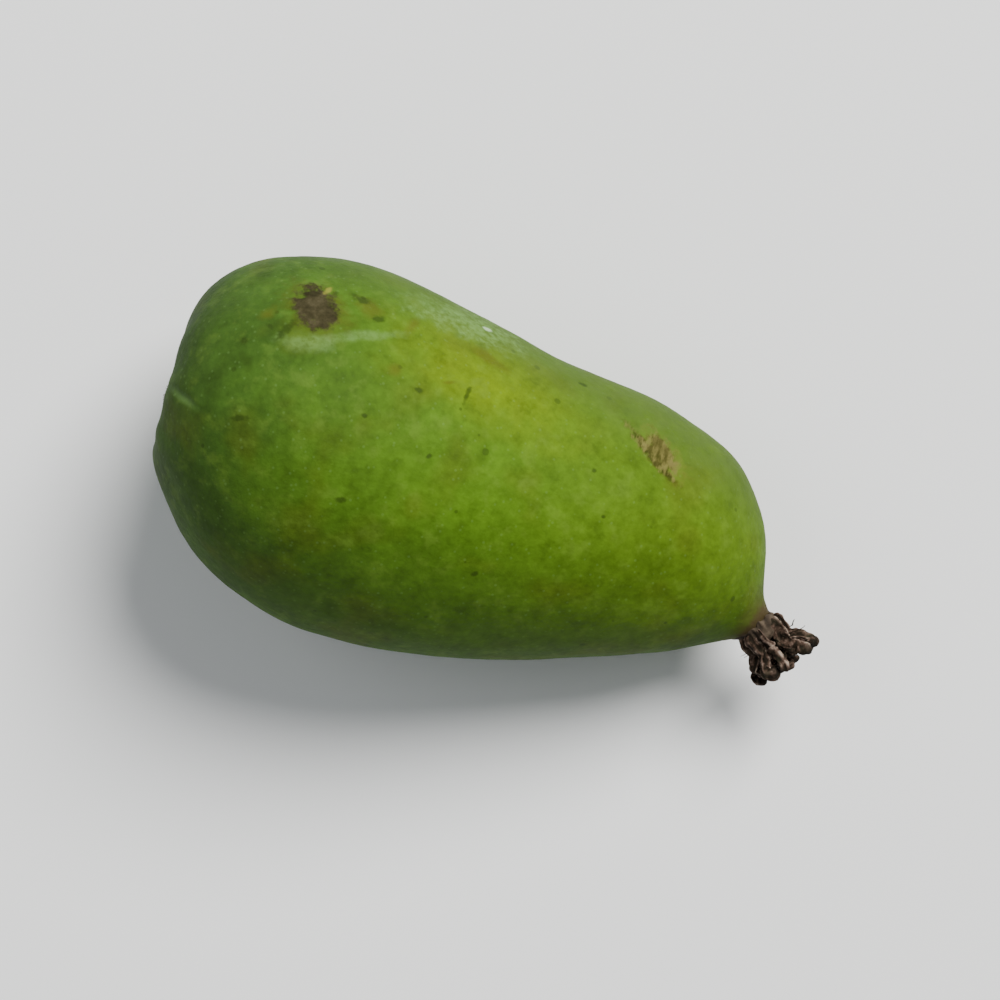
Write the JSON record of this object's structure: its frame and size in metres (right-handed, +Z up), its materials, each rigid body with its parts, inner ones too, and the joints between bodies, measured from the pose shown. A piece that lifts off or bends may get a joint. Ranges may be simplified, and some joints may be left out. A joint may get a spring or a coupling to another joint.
{
  "type": "kiwi berry",
  "caption": "Smooth green kiwi berry as picked, lying on its side, with a tuft of dried styles on its beak and a stalk stub in the hollow at its other end.",
  "frame": {"origin": "centre of the whole object's box in plan, on the plane of the flat spot that it rests on", "axes": "+X along the berry from the stalk end to the beak, +Z up from the surface that it rests on, +Y towards the side that bulges less"},
  "size_m": [0.046, 0.0244, 0.0231],
  "materials": {
    "skin": "satin green fruit skin with fine speckle, tan scars and a thin waxy bloom",
    "cork": "dull, fibrous brown cork",
    "dried_style": "dull, wrinkled dark brown with paler ridges and near-black tips"
  },
  "bodies": {
    "root": {"berry": "skin", "style_boss": "cork", "stalk_stub": "cork", "outer_style_01": "dried_style", "outer_style_02": "dried_style", "outer_style_03": "dried_style", "outer_style_04": "dried_style", "outer_style_05": "dried_style", "outer_style_06": "dried_style", "outer_style_07": "dried_style", "outer_style_08": "dried_style", "outer_style_09": "dried_style", "inner_style_01": "dried_style", "inner_style_02": "dried_style", "inner_style_03": "dried_style", "inner_style_04": "dried_style", "inner_style_05": "dried_style", "inner_style_06": "dried_style"}
  },
  "joints": []
}
